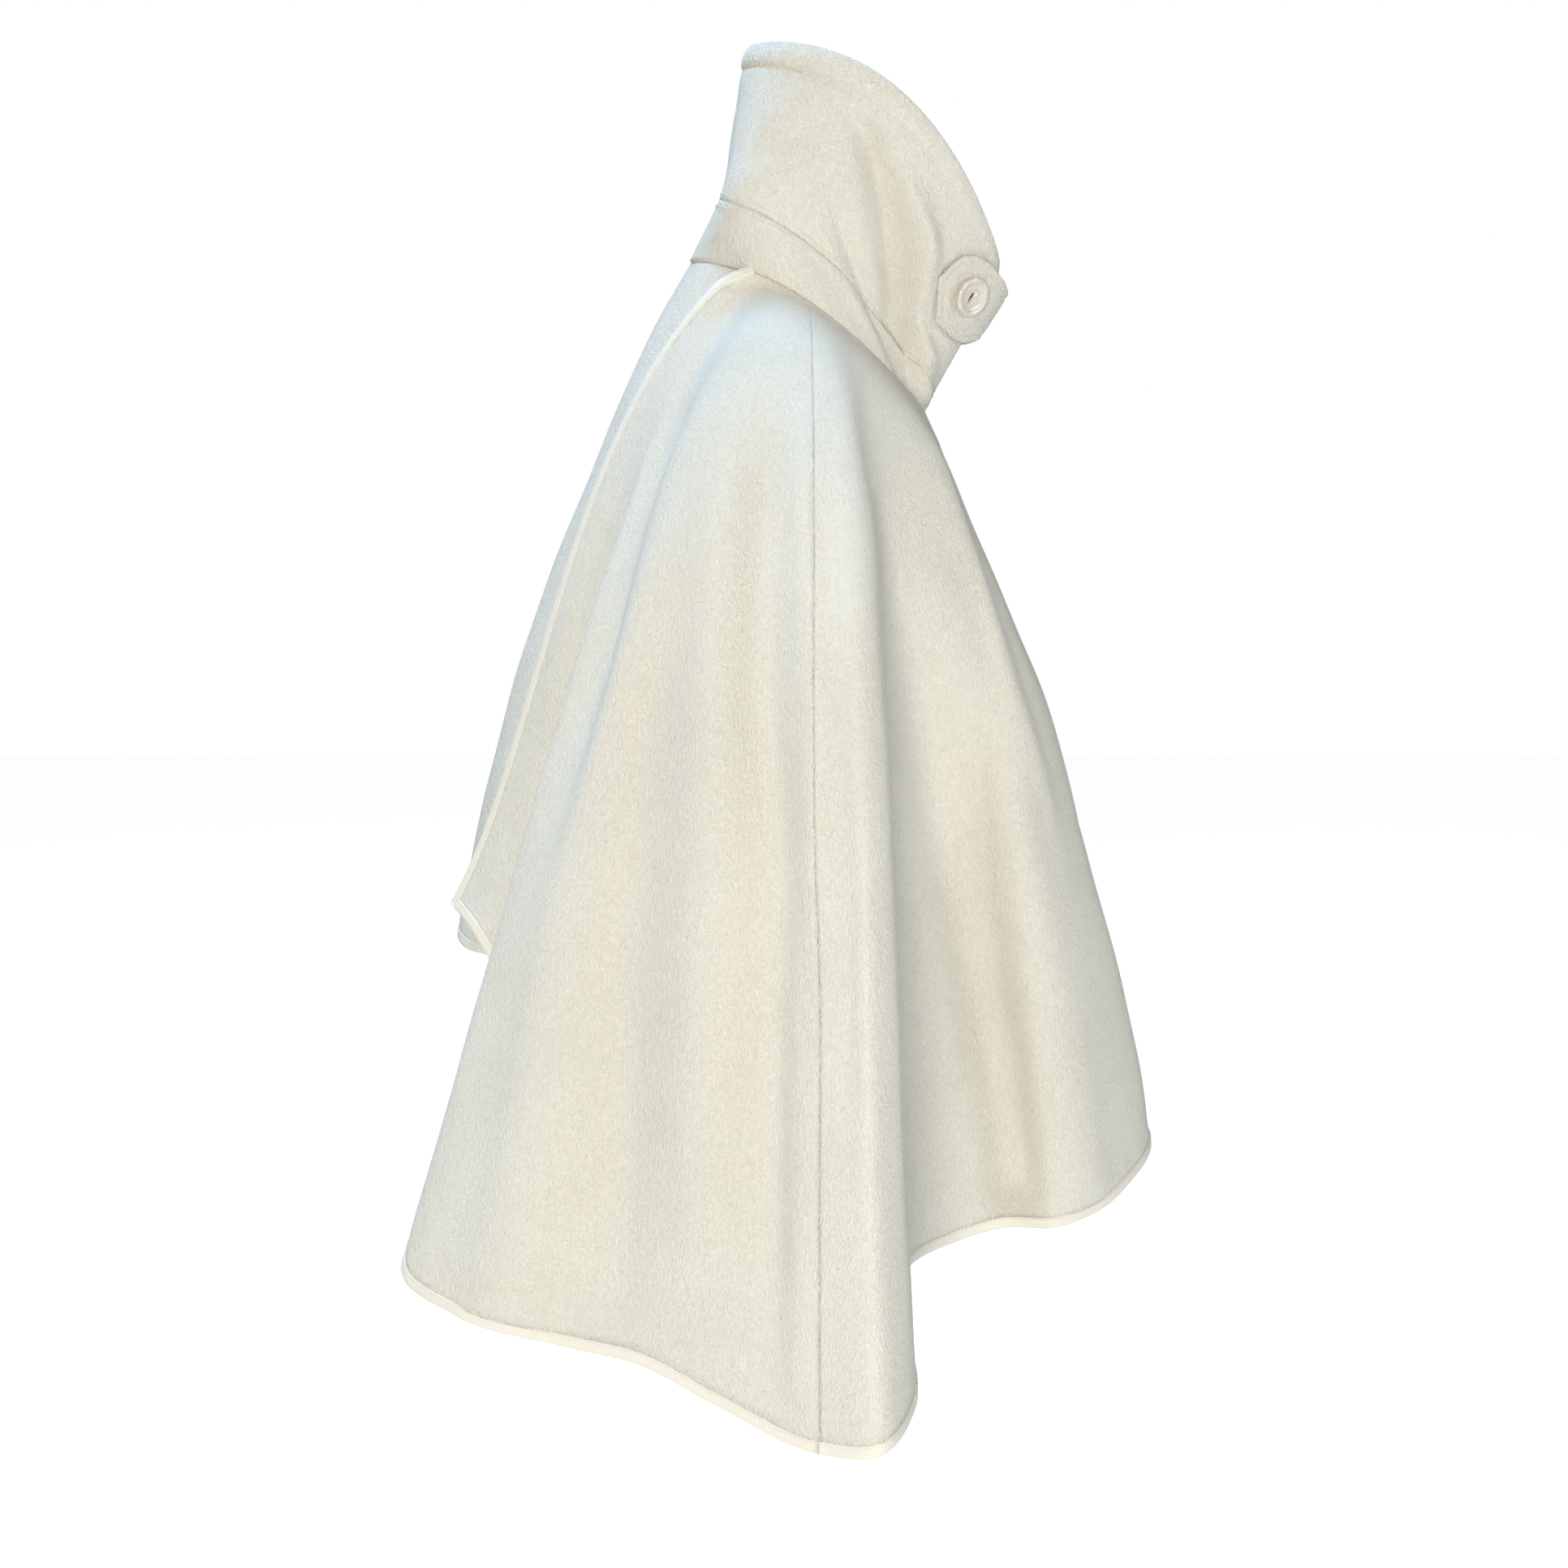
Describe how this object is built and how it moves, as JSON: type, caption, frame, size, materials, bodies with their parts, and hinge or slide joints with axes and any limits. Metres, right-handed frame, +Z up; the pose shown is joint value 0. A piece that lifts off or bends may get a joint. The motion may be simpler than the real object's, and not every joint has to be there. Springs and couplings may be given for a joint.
{
  "type": "cape",
  "caption": "Hip-length napped-wool cape with a tall standing funnel collar, a throat tab with one button, and a lapped back opening with bound edges.",
  "frame": {"origin": "middle of the neck seam, on the line through the middle of the wearer's neck", "axes": "+Z up, -Y the way the wearer faces, +X the wearer's left"},
  "size_m": [0.7848, 0.5508, 0.8896],
  "materials": {
    "front_panel": "napped ivory wool",
    "back_panel_right": "napped ivory wool",
    "back_panel_left": "napped ivory wool",
    "collar_band": "napped ivory wool",
    "collar": "napped ivory wool",
    "collar_tab": "napped ivory wool",
    "button": "polished pearly resin",
    "hem_binding_front": "smooth cream tape",
    "hem_binding_right": "smooth cream tape",
    "hem_binding_left": "smooth cream tape",
    "edge_binding_right": "smooth cream tape",
    "edge_binding_left": "smooth cream tape"
  },
  "bodies": {
    "root": {"front_panel": "front_panel", "back_panel_right": "back_panel_right", "back_panel_left": "back_panel_left", "collar_band": "collar_band", "collar": "collar", "collar_tab": "collar_tab", "button": "button", "hem_binding_front": "hem_binding_front", "hem_binding_right": "hem_binding_right", "hem_binding_left": "hem_binding_left", "edge_binding_right": "edge_binding_right", "edge_binding_left": "edge_binding_left"}
  },
  "joints": []
}
